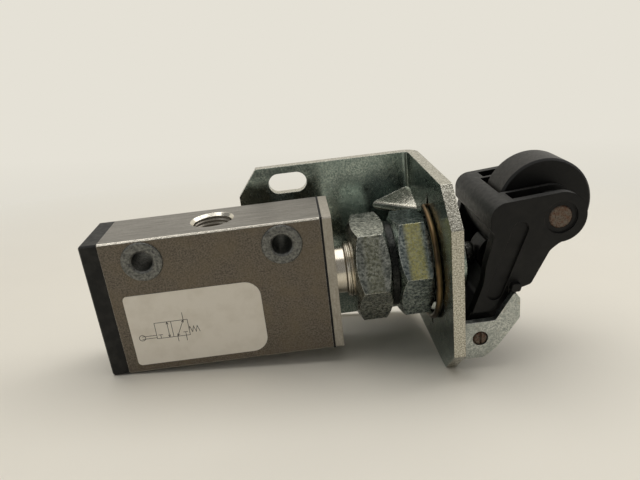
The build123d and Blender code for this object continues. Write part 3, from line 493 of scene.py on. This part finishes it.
def symbol_lines():
    left, middle = SYMBOL_LEFT, SYMBOL_LEFT + SQUARE_WIDTH
    right, top = middle + SQUARE_WIDTH, SYMBOL_TOP
    bottom = top + SQUARE_HEIGHT
    inset = 0.9
    tee = 0.9
    lines = [
        [(left, top), (right, top), (right, bottom), (left, bottom), (left, top)],
        [(middle, top), (middle, bottom)],
        [(middle - inset, bottom), (middle - inset, top)],
        [(left + inset, bottom), (left + inset, bottom - tee)],
        [(left + inset - 0.45, bottom - tee), (left + inset + 0.45, bottom - tee)],
        [(middle + inset, bottom), (right - inset, top)],
        [(right - inset, bottom), (right - inset, bottom - tee)],
        [(right - inset - 0.45, bottom - tee), (right - inset + 0.45, bottom - tee)],
        [(right - inset, top), (right - inset, top - 1.8)],
        [(middle + inset, bottom), (middle + inset, bottom + 1.3)],
        [(right - inset, bottom), (right - inset, bottom + 1.3)],
    ]
    for x, z, way in ((middle - inset, top, 1), (middle - inset, bottom, -1)):
        lines.append([(x - 0.22, z + way * 0.6), (x, z), (x + 0.22, z + way * 0.6)])
    slope = Vector((right - middle - 2 * inset, -SQUARE_HEIGHT)).normalized()
    side = Vector((-slope.y, slope.x)) * 0.22
    for tip, way in (((right - inset, top), -1), ((middle + inset, bottom), 1)):
        tip = Vector(tip)
        back = tip + slope * way * 0.6
        lines.append([tuple(back - side), tuple(tip), tuple(back + side)])
    level = bottom - 1.4
    spring = [(right, level)]
    for index in range(6):
        spring.append((right + 0.25 + index * 0.42, level + (0.75 if index % 2 else -0.75)))
    lines.append(spring)
    wheel = Vector((left - 3.3, bottom - 0.6))
    reach = 0.7
    lines.append([(wheel.x + reach * cos(a * pi / 10), wheel.y + reach * sin(a * pi / 10)) for a in range(21)])
    lines.append([(wheel.x, wheel.y - 0.32), (left, wheel.y - 0.32)])
    lines.append([(wheel.x, wheel.y + 0.32), (left, wheel.y + 0.32)])
    return lines


label_low, label_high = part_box("label")
INK_PROUD = 0.01
ink_points = []
ink_faces = []
for line in symbol_lines():
    for start, end in zip(line, line[1:]):
        start, end = Vector(start), Vector(end)
        along = (end - start).normalized() * STROKE / 2
        across = Vector((-along.y, along.x))
        first = len(ink_points)
        for corner in (start - along - across, start - along + across, end + along + across, end + along - across):
            x = label_low.x + corner.x * MM
            z = label_high.z - corner.y * MM
            ink_points.append((x, label_low.y - INK_PROUD * MM, z))
        ink_faces.append((first, first + 1, first + 2, first + 3))
ink = Finish("label_ink", screen(44, 40, 36), 0.5)
ink.set("Base Color", ink.blend(ink.noise(0.3, 3), screen(34, 31, 28), screen(62, 57, 52)))
FINISHES["label_ink"] = ink.finished()
symbol = piece("label_symbol", ink_points, ink_faces, "label_ink", "valve", smooth=False)


def stage_piece(name, points, faces, material):
    mesh = bpy.data.meshes.new(name)
    mesh.from_pydata(points, [], faces)
    mesh.polygons.foreach_set("use_smooth", [True] * len(mesh.polygons))
    mesh.materials.append(material)
    made = bpy.data.objects.new(name, mesh)
    bpy.context.scene.collection.objects.link(made)
    return made


# Table and backdrop in one sweep, level with the points that the valve rests on
SWEEP_HALF_WIDTH = 1.6
SWEEP_FRONT = -1.2
SWEEP_BACK = 0.5
SWEEP_RADIUS = 0.5
SWEEP_HEIGHT = 1.4
rest = [Vector(point) * MM for point in REST_POINTS]
up = (rest[1] - rest[0]).cross(rest[2] - rest[0]).normalized()
if up.z < 0:
    up = -up
side = Vector((0, 1, 0)).cross(up).normalized()
back = up.cross(side)
middle = (rest[0] + rest[1] + rest[2]) / 3
rows = [(SWEEP_FRONT, 0.0), (SWEEP_BACK, 0.0)]
for step in range(1, 17):
    angle = step / 16 * pi / 2
    rows.append((SWEEP_BACK + SWEEP_RADIUS * sin(angle), SWEEP_RADIUS * (1 - cos(angle))))
rows.append((SWEEP_BACK + SWEEP_RADIUS, SWEEP_HEIGHT))
sweep_points = []
for run, rise in rows:
    for half in (-1, 1):
        sweep_points.append(middle + side * half * SWEEP_HALF_WIDTH + back * run + up * (rise - 0.00002))
sweep_faces = [(2 * i, 2 * i + 1, 2 * i + 3, 2 * i + 2) for i in range(len(rows) - 1)]
paper = Finish("table_top", screen(222, 217, 205), 0.6)
paper.set("Base Color", paper.blend(paper.noise(60, 3), screen(220, 215, 203), screen(226, 221, 209)))


def show_evenly(finish, color):
    """Past the object's shadow, camera and reflections see an even pale backdrop."""
    seen = finish.tree.nodes.new("ShaderNodeLightPath")
    direct = finish.math("MAXIMUM", seen.outputs["Is Camera Ray"], seen.outputs["Is Glossy Ray"])
    direct = finish.math("MAXIMUM", direct, seen.outputs["Is Transmission Ray"])
    length = finish.tree.nodes.new("ShaderNodeVectorMath")
    length.operation = "LENGTH"
    finish.plug(finish.place, length.inputs[0])
    far = finish.remap(length.outputs["Value"], FLOOR_NEAR, FLOOR_FAR)
    glow = finish.node("ShaderNodeEmission", Color=color, Strength=1.0)
    mixed = finish.node("ShaderNodeMixShader", Fac=finish.both(direct, far))
    finish.plug(finish.shader.outputs["BSDF"], mixed.inputs[1])
    finish.plug(glow.outputs["Emission"], mixed.inputs[2])
    finish.plug(mixed.outputs["Shader"], finish.tree.nodes["Material Output"].inputs["Surface"])


FLOOR_NEAR = 0.1
FLOOR_FAR = 0.26
# The backdrop's glow gets darker towards the front: painted shade.
front_shade_ramp = paper.remap(paper.along("Y"), -120, 400)
show_evenly(paper, paper.blend(front_shade_ramp, screen(216, 212, 200), screen(229, 225, 214)))
stage_piece("sweep", sweep_points, sweep_faces, paper.finished())

# Soft light: a wide ceiling lamp a little behind and to the left, and a dim room
world = bpy.data.worlds.new("studio")
bpy.context.scene.world = world
world.use_nodes = True
sky = world.node_tree.nodes["Background"]
sky.inputs["Color"].default_value = (1.0, 0.985, 0.955, 1.0)
sky.inputs["Strength"].default_value = 0.27


def lamp(name, place, aim, size, watts, color):
    data = bpy.data.lights.new(name, "AREA")
    data.shape = "RECTANGLE"
    data.size, data.size_y = size
    data.energy = watts
    data.color = color
    made = bpy.data.objects.new(name, data)
    made.location = place
    made.rotation_euler = (Vector(aim) - Vector(place)).to_track_quat("-Z", "Y").to_euler()
    bpy.context.scene.collection.objects.link(made)


lamp("ceiling", (-0.03, 0.12, 0.55), (-0.02, 0.04, 0), (0.75, 0.62), 2.6, (1.0, 0.985, 0.96))
lamp("window", (-0.5, -0.35, 0.3), (0, -0.02, 0), (0.3, 0.4), 0.3, (0.95, 0.98, 1.0))
lamp("side", (0.5, 0.2, 0.4), (0.05, -0.03, -0.02), (0.45, 0.45), 1.5, (1.0, 0.99, 0.97))

camera = bpy.data.objects.new("camera", bpy.data.cameras.new("camera"))
camera.location = Vector(CAMERA_PLACE) * MM
camera.rotation_euler = [radians(angle) for angle in CAMERA_TURN_DEG]
camera.data.lens = CAMERA_LENS
camera.data.sensor_width = 36.0
camera.data.clip_start = 0.005
bpy.context.scene.collection.objects.link(camera)
bpy.context.scene.camera = camera
bpy.context.scene.view_settings.view_transform = "Standard"
